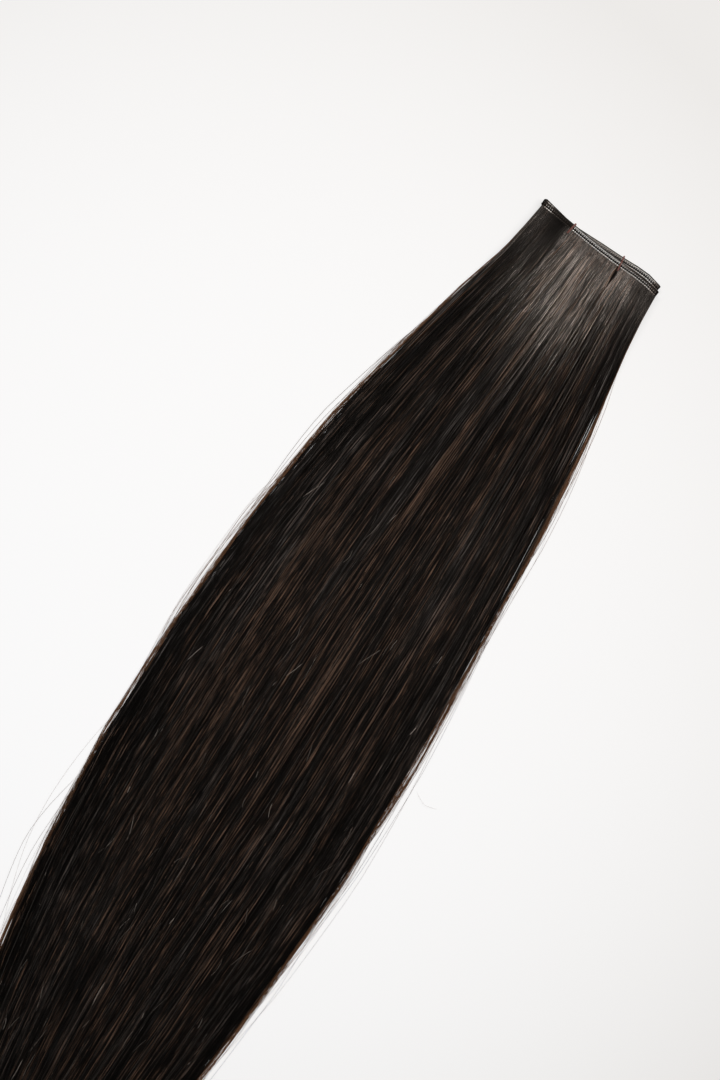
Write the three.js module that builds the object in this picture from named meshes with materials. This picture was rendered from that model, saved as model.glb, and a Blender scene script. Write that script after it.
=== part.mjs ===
// Hair weft: one sewn band folded to and fro into four layers, two thread ties round the folded
// band, and a curtain of straight hair falling from each layer. It lies flat on a surface.
// X runs along the band, the hair falls towards -Y and Z points up. Lengths are in millimetres.

import * as THREE from 'three';

// Driving dimensions
const GAP = 0.3;
const FLOOR_GAP = 0.3; // under the edges of the upper curtains
const HAIR_LENGTH = 600;
const HAIR_LEAN = THREE.MathUtils.degToRad(2); // where the hair leaves the band
const HAIR_BEND_RADIUS = 4190;
const BAND_HEIGHT = 3.2;
const BAND_LIFT = 0.92; // room for the ties under the band
const LAYER_PITCH = 1.2;
const THREAD = 0.5;

// The band's section: half its thickness at places up its height, with the thread row near the
// hair, the plain land and the thicker braid along the outer edge
const BAND_SECTION = [
  { up: -1.6, half: 0.2 },
  { up: -1.35, half: 0.46 },
  { up: -0.95, half: 0.46 },
  { up: -0.75, half: 0.34 },
  { up: 0.1, half: 0.34 },
  { up: 0.3, half: 0.46 },
  { up: 1.35, half: 0.46 },
  { up: 1.6, half: 0.2 },
];
const BAND_ROW_HALF = 0.46;

// Where each layer of the band runs, top layer first: its two ends along X, and how far out its
// middle line lies at the left end, both ties, halfway, where it fans open and the right end
const BAND_LAYERS = [
  { left: -37.5, right: 38.2, out: [-0.9, -1.3, -1.6, -1.2, -0.4, -1.4] },
  { left: -37.5, right: 36.2, out: [0.5, -1.2, 0.3, 1.4, 2.9, 1.8] },
  { left: -36.4, right: 36.2, out: [0.2, -1.2, 0.2, 1.2, 2.5, 1.5] },
  { left: -36.4, right: 35.8, out: [0.4, -1.3, 0, 1, 2.2, 1.2] },
];
const BAND_HALFWAY = -1;
const BAND_FAN = 28;
const BAND_STEPS = 11; // along each layer
const FOLD_STEPS = 6; // round each fold

// The two ties: where the thread crosses the outer edge, where it enters the hair, and how far
// below the band that is
const TIES = [
  { name: 'tie_left', outerX: -17.7, innerX: -18.3, reach: 2.3 },
  { name: 'tie_right', outerX: 12.6, innerX: 14.3, reach: 1.7 },
];
const TIE_CORNER = 0.8;
const TIE_STEPS = 36;
const THREAD_SIDES = 8;

// The whole head of hair, section by section down its length: half its width and the height of
// its crown
const HAIR_SECTIONS = [
  { along: 0, half: 37.6, crown: 5.42 },
  { along: 30, half: 41.2, crown: 6.6 },
  { along: 75, half: 50.2, crown: 8.3 },
  { along: 130, half: 60.6, crown: 9 },
  { along: 200, half: 69.2, crown: 9 },
  { along: 280, half: 74.4, crown: 8.6 },
  { along: 350, half: 75, crown: 8.2 },
  { along: 430, half: 69.3, crown: 7.4 },
  { along: 500, half: 60, crown: 6.4 },
  { along: 560, half: 49, crown: 5.4 },
  { along: 600, half: 40, crown: 4.6 },
];
const HAIR_STATIONS = [0, 10, 30, 60, 100, 150, 210, 280, 350, 420, 480, 530];
const SETTLE = 80; // the curtains come down to the surface over this length
const ROOT_FADE = 45; // the roots follow the band's line over this length
const CROWN_POWER = 3.5;
const EDGE_THICKNESS = 0.45;
const NEST_AT_ROOT = 1.5; // each curtain is this much narrower than the one above it
const NEST = 4;
const FOOT = 0.6; // sideways room between a curtain and the one that lies over its edge

// Locks of the curtains, by the partings between them along the band
const TOP_PARTINGS = [-33, -27.5, -22.5, -18.3, -13, -7.5, -2, 4, 9, 14.3, 19, 24.5, 30.5];
const LOWER_PARTINGS = [-27, -18.3, -8, 4, 14.3, 25];
const PARTING_SIDE = 0.2; // share of a lock's width that slopes down to its parting
const PARTING_DEPTH = 0.34; // share of the curtain's thickness
const TIE_PARTING = 8; // how far the thread keeps the hair parted
const TIP_STAGGER = 34;
const TIP_STEPS = 3;
const TIP_WIDTH = 0.3; // share of the lock's width left at its tip
const TIP_THICKNESS = 0.4;

const hairFinish = new THREE.MeshStandardMaterial({ color: 0x1d1613, roughness: 0.45 });
const bandFinish = new THREE.MeshStandardMaterial({ color: 0x2a2421, roughness: 0.5 });
const threadFinish = new THREE.MeshStandardMaterial({ color: 0x6e3b31, roughness: 0.6 });

// A smooth curve through given heights at given places
function curveThrough(places, heights) {
  const curve = new THREE.CubicInterpolant(places, heights, 1);
  return (place) => curve.evaluate(place)[0];
}

// A closed skin of four-sided faces, built row by row. Each column of a row has an upper and a
// lower corner, and upper is the way of the rows turned onto the way of the columns.
class Skin {
  corners = [];
  faces = [];

  corner(point) {
    this.corners.push(point.x, point.y, point.z);
    return this.corners.length / 3 - 1;
  }

  quad(a, b, c, d) {
    this.faces.push(a, b, c, a, c, d);
  }

  row(columns) {
    return columns.map(([upper, lower]) => [this.corner(upper), this.corner(lower)]);
  }

  // Joins two rows above, below and along both sides
  join(from, to) {
    const last = from.length - 1;
    for (let i = 1; i <= last; i++) {
      this.quad(from[i - 1][0], to[i - 1][0], to[i][0], from[i][0]);
      this.quad(from[i][1], to[i][1], to[i - 1][1], from[i - 1][1]);
    }
    this.quad(from[0][1], to[0][1], to[0][0], from[0][0]);
    this.quad(from[last][0], to[last][0], to[last][1], from[last][1]);
  }

  closeStart(row) {
    for (let i = 1; i < row.length; i++) {
      this.quad(row[i - 1][1], row[i - 1][0], row[i][0], row[i][1]);
    }
  }

  closeEnd(row) {
    for (let i = 1; i < row.length; i++) {
      this.quad(row[i][1], row[i][0], row[i - 1][0], row[i - 1][1]);
    }
  }

  geometry() {
    const geometry = new THREE.BufferGeometry();
    geometry.setAttribute('position', new THREE.Float32BufferAttribute(this.corners, 3));
    geometry.setIndex(this.faces);
    geometry.computeVertexNormals();
    return geometry;
  }
}

// The band

const layerHeight = (layer) =>
  BAND_LIFT + BAND_ROW_HALF + (BAND_LAYERS.length - 1 - layer) * LAYER_PITCH;

const bandLines = BAND_LAYERS.map(({ left, right, out }) =>
  curveThrough([left, TIES[0].outerX, BAND_HALFWAY, TIES[1].outerX, BAND_FAN, right], out));

// The ribbon's middle line: along each layer in turn, and round a half turn to the next one
function bandRoute() {
  const route = [];
  BAND_LAYERS.forEach(({ left, right }, layer) => {
    const leftward = layer % 2 === 0;
    const [start, end] = leftward ? [right, left] : [left, right];
    for (let step = 0; step < BAND_STEPS; step++) {
      const x = THREE.MathUtils.lerp(start, end, step / (BAND_STEPS - 1));
      route.push({
        middle: new THREE.Vector3(x, bandLines[layer](x), layerHeight(layer)),
        turn: leftward ? Math.PI : 0,
      });
    }
    if (layer + 1 === BAND_LAYERS.length) return;
    for (let step = 1; step < FOLD_STEPS; step++) {
      const part = step / FOLD_STEPS;
      const round = part * Math.PI;
      const side = leftward ? -1 : 1;
      const radius = LAYER_PITCH / 2;
      const out = THREE.MathUtils.lerp(bandLines[layer](end), bandLines[layer + 1](end), part);
      route.push({
        middle: new THREE.Vector3(
          end + side * radius * Math.sin(round),
          out,
          layerHeight(layer) - radius * (1 - Math.cos(round)),
        ),
        turn: leftward ? Math.PI + round : -round,
      });
    }
  });
  return route;
}

function weftBand() {
  const skin = new Skin();
  const rows = bandRoute().map(({ middle, turn }) => {
    const across = new THREE.Vector3(-Math.sin(turn), 0, Math.cos(turn));
    return skin.row(BAND_SECTION.map(({ up, half }) => {
      const place = middle.clone().setY(middle.y + up);
      return [
        place.clone().addScaledVector(across, half),
        place.clone().addScaledVector(across, -half),
      ];
    }));
  });
  skin.closeStart(rows[0]);
  for (let i = 1; i < rows.length; i++) skin.join(rows[i - 1], rows[i]);
  skin.closeEnd(rows[rows.length - 1]);
  const band = new THREE.Mesh(skin.geometry(), bandFinish);
  band.name = 'weft_band';
  return band;
}

// The thread ties

// A closed outline with its corners rounded, as points in the YZ plane
function roundedOutline(corners) {
  const path = new THREE.Path();
  corners.forEach((corner, i) => {
    const before = corners[(i + corners.length - 1) % corners.length];
    const after = corners[(i + 1) % corners.length];
    const leg = Math.min(corner.distanceTo(before), corner.distanceTo(after));
    const cut = Math.min(TIE_CORNER, 0.45 * leg);
    const enter = corner.clone().add(before.clone().sub(corner).setLength(cut));
    const leave = corner.clone().add(after.clone().sub(corner).setLength(cut));
    if (i === 0) path.moveTo(enter.x, enter.y);
    else path.lineTo(enter.x, enter.y);
    path.quadraticCurveTo(corner.x, corner.y, leave.x, leave.y);
  });
  path.closePath();
  return path.getSpacedPoints(TIE_STEPS).slice(0, -1);
}

function threadTie({ name, outerX, innerX, reach }) {
  const clear = GAP + THREAD / 2;
  const edges = bandLines.map((line) => line((outerX + innerX) / 2));
  const inner = Math.min(...edges) - BAND_HEIGHT / 2 - reach;
  const outer = Math.max(...edges) + BAND_HEIGHT / 2 + clear;
  const topOuter = edges[0] + BAND_HEIGHT / 2;
  const top = layerHeight(0) + BAND_ROW_HALF + clear;
  const second = layerHeight(1) + BAND_ROW_HALF + clear;
  const bottom = layerHeight(BAND_LAYERS.length - 1) - BAND_ROW_HALF - clear;
  const outline = roundedOutline([
    new THREE.Vector2(inner, bottom),
    new THREE.Vector2(inner, top),
    new THREE.Vector2(topOuter, top),
    new THREE.Vector2(outer, second),
    new THREE.Vector2(outer, bottom),
  ]);
  const route = outline.map((point) => new THREE.Vector3(
    THREE.MathUtils.mapLinear(point.x, inner, outer, innerX, outerX),
    point.x,
    point.y,
  ));
  const loop = new THREE.CatmullRomCurve3(route, true);
  const thread = new THREE.TubeGeometry(loop, TIE_STEPS, THREAD / 2, THREAD_SIDES, true);
  const tie = new THREE.Mesh(thread, threadFinish);
  tie.name = name;
  return tie;
}

// The hair

const sectionPlaces = HAIR_SECTIONS.map((section) => section.along);
const hairHalf = curveThrough(sectionPlaces, HAIR_SECTIONS.map((section) => section.half));
const hairCrown = curveThrough(sectionPlaces, HAIR_SECTIONS.map((section) => section.crown));
const settled = (along) => THREE.MathUtils.smoothstep(along, 0, SETTLE);

// Half the width of a curtain. Each one reaches past the edges of the curtain below it.
function curtainHalf(layer, along) {
  const nest = THREE.MathUtils.lerp(NEST_AT_ROOT, NEST, settled(along));
  return hairHalf(along) - layer * nest;
}

const curtainBase = (along) => BAND_LIFT * (1 - settled(along));

// The crown of a curtain: the curtains share the height of the hair
function curtainCrown(layer, along) {
  const share = (BAND_LAYERS.length - layer) / BAND_LAYERS.length;
  const base = curtainBase(along);
  return base + (hairCrown(along) - base + GAP) * share - GAP;
}

// The height of a curtain's side edges: at its own level by the band, down by the surface later
function curtainEdge(layer, along) {
  if (layer + 1 === BAND_LAYERS.length) return curtainBase(along);
  return THREE.MathUtils.lerp(curtainCrown(layer + 1, along) + GAP, FLOOR_GAP, settled(along));
}

// The upper face of a curtain, flat by the band and crowned further down
function curtainTop(layer, along, side) {
  const share = Math.min(Math.abs(side) / curtainHalf(layer, along), 1);
  const crowned = THREE.MathUtils.lerp(1, 1 - share ** CROWN_POWER, settled(along));
  const edge = curtainEdge(layer, along) + EDGE_THICKNESS;
  return edge + (curtainCrown(layer, along) - edge) * crowned;
}

// The lower face of a curtain, which lies over the curtain below
function curtainBottom(layer, along, side) {
  const edge = curtainEdge(layer, along);
  const below = layer + 1;
  if (below === BAND_LAYERS.length) return edge;
  if (Math.abs(side) > curtainHalf(below, along) + FOOT / 2) return edge;
  return Math.max(edge, curtainTop(below, along, side) + GAP);
}

// A place in a curtain: along the bending middle line, and sideways from it. By the band the
// roots follow the lower edge of their own layer.
function hairPlace(layer, along, side, up) {
  const turn = HAIR_LEAN + along / HAIR_BEND_RADIUS;
  const x = HAIR_BEND_RADIUS * (Math.cos(HAIR_LEAN) - Math.cos(turn)) + side * Math.cos(turn);
  const y = HAIR_BEND_RADIUS * (Math.sin(HAIR_LEAN) - Math.sin(turn)) + side * Math.sin(turn);
  const root = bandLines[layer](side) - BAND_HEIGHT / 2 - GAP - side * Math.sin(HAIR_LEAN);
  const fade = 1 - THREE.MathUtils.smoothstep(along, 0, ROOT_FADE);
  return new THREE.Vector3(x, y + root * fade, up);
}

// The columns across a curtain: each lock has its parting and points beside and between, and
// the two outer locks reach on over the edge of the curtain below
function curtainColumns(layer, along, partings, crest) {
  const half = curtainHalf(layer, along);
  const foot = curtainHalf(layer + 1, along);
  const spread = half / curtainHalf(layer, 0);
  const bounds = [-foot, ...partings.map((parting) => parting * spread), foot];
  const columns = [{ side: -half, dip: 0 }, { side: -foot - FOOT, dip: 0 }];
  bounds.slice(1).forEach((end, lock) => {
    const start = bounds[lock];
    const shares = [0, PARTING_SIDE, ...crest, 1 - PARTING_SIDE];
    shares.forEach((share) => columns.push({
      side: THREE.MathUtils.lerp(start, end, share),
      dip: share === 0 && lock > 0 ? PARTING_DEPTH : 0,
      parting: share === 0 && lock > 0 ? partings[lock - 1] : null,
    }));
  });
  columns.push({ side: foot, dip: 0 }, { side: foot + FOOT, dip: 0 }, { side: half, dip: 0 });
  return columns;
}

// The upper and lower corner of a column, thinned towards the middle where a lock runs out
function columnCorners(layer, along, { side, dip, parting }, thin = 1) {
  const isTied = along === 0 && TIES.some(({ innerX }) => innerX === parting);
  const shown = isTied ? TIE_PARTING : 0;
  const lower = curtainBottom(layer, along, side);
  const upper = curtainTop(layer, along, side);
  const top = upper - (upper - lower) * dip * settled(along);
  const middle = (top + lower) / 2;
  const half = ((top - lower) / 2) * thin;
  return [middle + half, middle - half].map((up) => {
    const place = hairPlace(layer, along, side, up);
    return place.setY(place.y - shown);
  });
}

// Lengths of the locks, uneven as brushed hair is
const lockLength = (layer, lock) =>
  HAIR_LENGTH - TIP_STAGGER * (0.5 + 0.5 * Math.sin(2.4 * lock + 1.3 * layer));

function hairCurtain(layer) {
  const isTop = layer === 0;
  const partings = isTop ? TOP_PARTINGS : LOWER_PARTINGS;
  const crest = isTop ? [0.5] : [];
  const columnsAt = (along) => curtainColumns(layer, along, partings, crest);
  const skin = new Skin();
  const rows = HAIR_STATIONS.map((along) =>
    skin.row(columnsAt(along).map((column) => columnCorners(layer, along, column))));
  skin.closeStart(rows[0]);
  for (let i = 1; i < rows.length; i++) skin.join(rows[i - 1], rows[i]);

  // Each lock goes on by itself from the last whole row to its own tip
  const tipStart = HAIR_STATIONS[HAIR_STATIONS.length - 1];
  const lockColumns = crest.length + 3;
  for (let lock = 0; lock <= partings.length; lock++) {
    const first = lock === 0 ? 0 : 2 + lock * lockColumns;
    const isLast = lock === partings.length;
    const end = isLast ? rows[0].length : 3 + (lock + 1) * lockColumns;
    let row = rows[rows.length - 1].slice(first, end);
    for (let step = 1; step <= TIP_STEPS; step++) {
      const part = step / TIP_STEPS;
      const along = THREE.MathUtils.lerp(tipStart, lockLength(layer, lock), part);
      const columns = columnsAt(along).slice(first, end);
      const middle = (columns[0].side + columns[columns.length - 1].side) / 2;
      const narrow = 1 - (1 - TIP_WIDTH) * part ** 2;
      const thin = 1 - (1 - TIP_THICKNESS) * part;
      const next = skin.row(columns.map((column) => {
        const side = THREE.MathUtils.lerp(middle, column.side, narrow);
        return columnCorners(layer, along, { ...column, side }, thin);
      }));
      skin.join(row, next);
      row = next;
    }
    skin.closeEnd(row);
  }
  const curtain = new THREE.Mesh(skin.geometry(), hairFinish);
  curtain.name = `hair_layer_${layer + 1}`;
  return curtain;
}

// The whole weft, with the middle of its box over the origin
const weft = new THREE.Group();
weft.add(weftBand(), ...TIES.map(threadTie), ...BAND_LAYERS.map((row, layer) => hairCurtain(layer)));
const box = new THREE.Box3().setFromObject(weft);
const centre = box.getCenter(new THREE.Vector3());
weft.position.set(-centre.x, -centre.y, -box.min.z);

export default weft;
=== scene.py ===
"""Dresses a hair weft that lies folded and tied on a pale surface, as a photographer lays it out."""

import math

import bmesh
import bpy
import numpy as np
from bpy.props import FloatProperty, FloatVectorProperty, IntProperty, PointerProperty
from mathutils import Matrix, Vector
from mathutils.bvhtree import BVHTree


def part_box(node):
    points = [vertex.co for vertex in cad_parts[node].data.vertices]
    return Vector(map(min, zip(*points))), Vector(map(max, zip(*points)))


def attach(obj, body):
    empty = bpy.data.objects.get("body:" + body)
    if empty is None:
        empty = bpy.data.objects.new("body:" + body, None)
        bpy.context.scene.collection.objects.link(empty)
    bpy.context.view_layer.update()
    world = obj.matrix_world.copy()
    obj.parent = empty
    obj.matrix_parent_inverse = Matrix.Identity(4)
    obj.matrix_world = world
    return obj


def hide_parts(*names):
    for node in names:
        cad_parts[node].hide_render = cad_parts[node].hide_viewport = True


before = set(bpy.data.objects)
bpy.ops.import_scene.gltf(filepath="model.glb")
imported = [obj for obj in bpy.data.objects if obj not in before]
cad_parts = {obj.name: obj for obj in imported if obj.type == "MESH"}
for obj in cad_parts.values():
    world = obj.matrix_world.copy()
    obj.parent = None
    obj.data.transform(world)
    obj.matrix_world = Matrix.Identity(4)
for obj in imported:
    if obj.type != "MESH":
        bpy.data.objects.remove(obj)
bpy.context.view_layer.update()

bl_info = {
    "name": "Hair Weft",
    "version": (1, 0, 0),
    "blender": (4, 5, 0),
    "location": "3D View > Sidebar > Hair Weft",
    "description": "Combs the curtains of a hair weft, sews its band and winds its thread ties",
    "category": "Object",
}

MM = 0.001
BODY = "root"

CURTAINS = ("hair_layer_1", "hair_layer_2", "hair_layer_3", "hair_layer_4")
BAND = "weft_band"
TIE_LEFT = "tie_left"
TIE_RIGHT = "tie_right"
HAIR = "straight_hair"


def table(columns, *rows):
    """Rows of named values; a row may leave out its last columns, and those in _mm are kept in metres."""
    found = []
    for row in rows:
        values = {}
        for name, value in zip(columns.split(), row):
            values[name.removesuffix("_mm")] = value * MM if name.endswith("_mm") else value
        found.append(values)
    return found


def column(rows, key, default=0.0):
    """One column of a table, with a default for the rows that leave it out."""
    return np.array([row.get(key, default) for row in rows])


# How a layer of the band is sewn: half its height, where its rows of stitches lie in from its outer
# edge, how long the stitches that wrap it are, and where a row ends
BAND_ROW_HALF = 0.46 * MM
THREAD_ROW_IN = 2.75 * MM
DOT_ROW_IN = 1.45 * MM
WRAP_ROW_IN = 0.86 * MM
EDGE_ROW_IN = 0.12 * MM
WRAP_HEIGHT = 0.75 * MM
ROW_ENDS_IN = 1.6 * MM
ROW_STEPS_IN = 0.6 * MM
ROW_PLACES = 90

# Painted light and shade on the sewn rows: how light the thread is painted on the top layer, on its wrap
# and on the layers under it, along the band from its middle; dark where the band turns from the light,
# light where it faces it, with painted glints near its left end
BAND_PAINTED_LIGHT = table(
    "along_mm top wrap under",
    (-38, 0.03, 0.02, 0.05),
    (-36.2, 0.08, 0.04, 0.1),
    (-35.4, 0.9, 0.1, 0.9),
    (-31.8, 0.85, 0.12, 0.9),
    (-30.8, 0.12, 0.05, 0.2),
    (-26, 0.04, 0.02, 0.05),
    (-18.4, 0.03, 0.02, 0.05),
    (-17.4, 0.95, 1.0, 0.7),
    (5, 1.0, 1.0, 0.7),
    (13, 1.0, 0.95, 0.7),
    (18, 0.95, 0.25, 0.85),
    (24, 0.95, 0.1, 1.0),
    (32, 0.85, 0.08, 1.0),
    (35, 0.5, 0.04, 0.25),
    (38, 0.08, 0.02, 0.05))

# How much thicker the twisted thread of a tie is than its solid
TIE_BULK = {TIE_LEFT: 1.3, TIE_RIGHT: 1.15}

# How far each curtain takes part in what the roots do, top curtain first
CURTAIN_SHARES = (1.0, 0.7, 0.4, 0.15)

# How much more the top of the hair swells past the roots, along the band from its middle, between
# which falls below the band the swell comes and goes, and how far strands differ in it
ROOT_SWELLS = table(
    "along_mm rise_mm",
    (-38, -1.4), (-29, -1.3), (-21, -0.9), (-18, 0.3), (-14, 1.4), (-4, 0.9), (2, 0.5),
    (8, 2.3), (13, 1.7), (17, 2.3), (21, 2.2), (26, -0.3), (38, -1.4))
SWELL_FROM = 6 * MM
SWELL_FULL = 45 * MM
SWELL_EASES = 75 * MM
SWELL_GONE = 190 * MM
SWELL_SPREAD = 1.3 * MM

# Painted shade on the roots, darkening their colour and coat: how much of it lies near the band and
# farther from it, along the band from its middle, how far below the band near and far are, and where it
# eases and is gone
ROOT_SHADES = table(
    "along_mm near far",
    (-38, 0.75, 0.4), (-33, 0.5, 0.35), (-29, 0.85, 0.6), (-26, 1.0, 0.9), (-19.2, 1.0, 1.0),
    (-18.4, 0.4, 0.1), (-14, 0.45, 0.1), (-4, 0.6, 0.2), (4, 0.55, 0.2), (9, 0.45, 0.0),
    (21, 0.05, 0.0), (25, 0.6, 0.3), (30, 0.85, 0.6), (38, 0.9, 0.6))
SHADE_NEAR = 4 * MM
SHADE_FAR = 15 * MM
SHADE_EASES = 14 * MM
SHADE_GONE = 44 * MM

# Where the hair sinks beside a tie: from the tie's foot, how wide to each side, how deep and how
# far down, how far the thread pushes the hair apart, and how far the hair spills to its left
TIE_HOLLOWS = table(
    "tie shift_mm left_mm right_mm depth_mm peak_mm push_mm spill_mm",
    (TIE_LEFT, -5.5, 9, 3.6, 1.5, 15, 0.3, 2.8),
    (TIE_RIGHT, -0.2, 1.2, 0.9, 2.3, 3.6, 0.75, 0.5))

# How much of a tie is its foot, how far each curtain takes part in the push and the spill, top
# curtain first, and how wide and how far down both go
TIE_FOOT = 0.2
TIE_PUSH_SHARES = (1.0, 0.5, 0.0, 0.0)
TIE_PUSH_WIDTH = 1.6 * MM
TIE_PUSH_REACH = 9 * MM
TIE_SPILL_WIDTH = 6 * MM
TIE_SPILL_FULL = 34 * MM
TIE_SPILL_GONE = 110 * MM

# How a curtain is combed: strands gather into locks, and bundles of locks wave together
LOCKS = 210
BUNDLE = 8
GATHER = 0.9
WAVES = table(
    "of spread_mm slow quick at_border",
    ("bundle", 1.1, 0.8, 2.0, 0.4),
    ("lock", 0.35, 1.0, 2.4, 0.4),
    ("strand", 0.07, 1.2, 3.2, 6.0))

# How much shorter than its curtain a strand may be, how its steps stray and crowd towards the root,
# how far and how often a lock bobs up and down, how far it shifts, how far locks and strands differ
# in the swell, how far into the band a root reaches, and how far strands stay off the surface
SHORTER_BY = 0.11
STEP_JITTER = 0.4
STEP_CROWDING = 1.9
LOCK_BOB = 0.16 * MM
LOCK_BOBS = (1.5, 4.0)
LOCK_SHIFT = 0.6 * MM
SWELL_OF_LOCK = 0.8
SWELL_OF_STRAND = 0.6
ROOT_OVERLAP = 0.5 * MM
FLOOR_CLEAR = 0.34 * MM

# How far the tint of a strand is its own, its lock's and that of every second lock, and how far it
# goes in strands that lie by themselves
TINT_OF_STRAND = 0.25
TINT_OF_LOCK = 0.4
TINT_OF_SECOND = 0.5
TINT_OF_SINGLE = 1.3

# The share of strands that lie by themselves on top of the locks, and how far they stand up
SINGLE_SHARE = 0.1
SINGLE_RISE = 0.25 * MM

# Strands are told apart by a number in this range, and those of a lock lie this close in it
OWN_RANGE = 400.0
OWN_SPREAD = 0.3

# How far a strand's painted shade strays along the band and down the hair
SHADE_ASIDE = 0.5 * MM
SHADE_DOWN = 3 * MM

# From where across a curtain its edge is thin and gets a painted glow, how much sooner at the root, and
# over what width
THIN_FROM = 1.003
THIN_SOONER = 0.022
THIN_WIDTH = 0.03

# How far the strands keep inside a curtain's outline on its left and right, from root to tip
EDGE_INSETS = table(
    "along left_mm right_mm",
    (0.0, 0.0, -0.5), (0.05, 1.0, -0.6), (0.1, 0.5, -0.9), (0.2, 0.5, 0.4), (0.3, 1.1, 1.6),
    (0.45, 1.9, 1.6), (0.56, 3.7, 1.4), (0.67, 1.9, 1.4), (1.0, 2.4, 1.4))

# How far a strand may stray past that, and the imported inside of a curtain: how far it is drawn in
# under the strands, how wide it is, how much of its tips is left and how far it stays off the surface
EDGE_FUZZ = 4 * MM
CORE_IN = 0.3 * MM
CORE_WIDTH = 0.95
CORE_TIPS = 0.55
CORE_CLEAR = 0.05 * MM

# Single hairs across the top curtain: the share of short broken ones, how long the short ones and then
# the long ones are, how far they slant and bend and how many millimetres they rise, and how far they
# keep inside the edges
SHORT_SHARE = 0.32
LOOSE_KINDS = table(
    "span_from span_to aslant bend rise_from rise_to",
    (0.006, 0.026, 0.2, 0.05, 0.15, 0.5),
    (0.15, 0.5, 0.02, 0.008, 0.1, 0.6))
LOOSE_INSIDE = 1.5 * MM

# Single hairs that stand clear of the edges, by side and by how far down the hair they start; one
# lies off by itself and flicks outward. The others start a little inside the edge, and they shiver
STRAY_HAIRS = table(
    "side from span out_mm peak off_mm flick_mm sag_mm",
    (1, 0.08, 0.31, 5.5, 0.45),
    (1, 0.18, 0.40, 3.6, 0.55),
    (1, 0.27, 0.46, 7.2, 0.50),
    (1, 0.30, 0.45, 5.2, 0.55),
    (1, 0.34, 0.48, 9.0, 0.50),
    (1, 0.58, 0.34, 6.8, 0.45),
    (1, 0.466, 0.001, 0.0, 0.50, 8.7, 14, 2.6),
    (-1, 0.12, 0.30, 6.0, 0.50),
    (-1, 0.26, 0.32, 4.4, 0.55),
    (-1, 0.30, 0.26, 6.4, 0.40),
    (-1, 0.55, 0.26, 11.5, 0.55),
    (-1, 0.62, 0.24, 13.0, 0.50),
    (-1, 0.60, 0.30, 8.0, 0.60))
STRAY_OFF = -0.8 * MM
STRAY_SHIVER = 0.5 * MM

# Thin wisps of hair that part from an edge and come back to it, how far their hairs spread, and how
# far each bows out at least
EDGE_WISPS = table(
    "side from span out_mm peak hairs",
    (-1, 0.02, 0.17, 1.5, 0.40, 18),
    (1, 0.07, 0.16, 1.5, 0.55, 16),
    (-1, 0.16, 0.20, 2.0, 0.55, 14),
    (-1, 0.45, 0.20, 3.2, 0.50, 34),
    (-1, 0.56, 0.20, 2.2, 0.45, 16),
    (-1, 0.68, 0.20, 2.6, 0.50, 18),
    (1, 0.14, 0.18, 1.8, 0.50, 14),
    (1, 0.30, 0.24, 3.0, 0.60, 28),
    (1, 0.50, 0.20, 2.2, 0.50, 16),
    (1, 0.64, 0.22, 2.6, 0.50, 18))
WISP_SPREAD = 0.25 * MM
WISP_LEAST = 0.3 * MM

# The combed pieces: their curtain, the seed of their draws, between which levels of the solid's
# thickness they lie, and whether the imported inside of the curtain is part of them
TOP_PIECES = table(
    "name layer seed low high core",
    ("top_curtain_under", 0, 11, 0.62, 0.95, True),
    ("top_curtain_over", 0, 12, 0.85, 1.12, False))
LOWER_PIECES = table(
    "name layer seed low high core",
    ("lower_curtain_1", 1, 41, 0.7, 1.08, True),
    ("lower_curtain_2", 2, 42, 0.7, 1.08, True),
    ("lower_curtain_3", 3, 43, 0.0, 1.08, True))
LOOSE_SEED = 71

# The sides of a strand's tube, between which shares of the set thickness strands differ, how much
# slimmer they are at the root and at the tip, and the steps from root to tip
STRAND_SIDES = 3
THICKNESS_SHARES = (0.5, 1.5)
ROOT_SLIMMER = 0.25
TIP_SLIMMER = 0.65
TOP_STEPS = 14
LOWER_STEPS = 10
LOOSE_STEPS = 18

# The noise over the hair: what it varies with and how finely, where it starts, how many pieces it
# has from root to tip, its middle and its strength
HAIR_NOISE = table(
    "name of across start down middle strength",
    ("patches", "seat", 15.0, 0.0, 4.0, 0.5, 0.28),
    ("light", "own", 1.0, 0.0, 28.0, 0.0, 1.15),
    ("warmth", "seat", 11.0, 40.0, 3.0, 0.0, 1.0),
    ("glints", "own", 2.5, 60.0, 60.0, 0.0, 1.1))

# How much the tint of the strands counts, also in their warmth, how much the patches count in the
# sheen and how much less of it there is, how much darker the hair is towards its tips, and how much
# darker, cooler and duller it is towards its edges
TINT_MIDDLE = 0.5
TINT_STRENGTH = 0.48
WARMTH_BY_TINT = 0.6
SHEEN_BY_PATCHES = 0.7
SHEEN_LESS = 0.05
TIPS_DARKER = 0.15
EDGES_DARKER = 0.06
EDGES_COOLER = 0.2
EDGES_DULLER = 0.2

# How the levels so made turn into light strands, warm strands and sheen
LIGHT_STOPS = ((0.55, 0.0), (0.68, 0.08), (0.8, 0.42), (0.93, 1.0))
WARM_STOPS = ((0.4, 0.0), (0.58, 1.0))
SHEEN_STOPS = ((0.38, 0.02), (0.56, 0.24), (0.74, 1.0))

# The camera hangs over the hair, its aim measured from the middle of the band's outer edge
CAMERA_LENS = 85
CAMERA_SENSOR = 36
CAMERA_HEIGHT = 1.331
CAMERA_AIM = (-3.2 * MM, -201.9 * MM)
CAMERA_TURN = math.radians(38.46)

# The long light beyond the band, in metres
LIGHT_PLACE = (-0.02, 0.78, 1.45)
LIGHT_AIM = (0.0, 0.15, 0.0)
LIGHT_SIZE = (2.2, 0.35)

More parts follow.
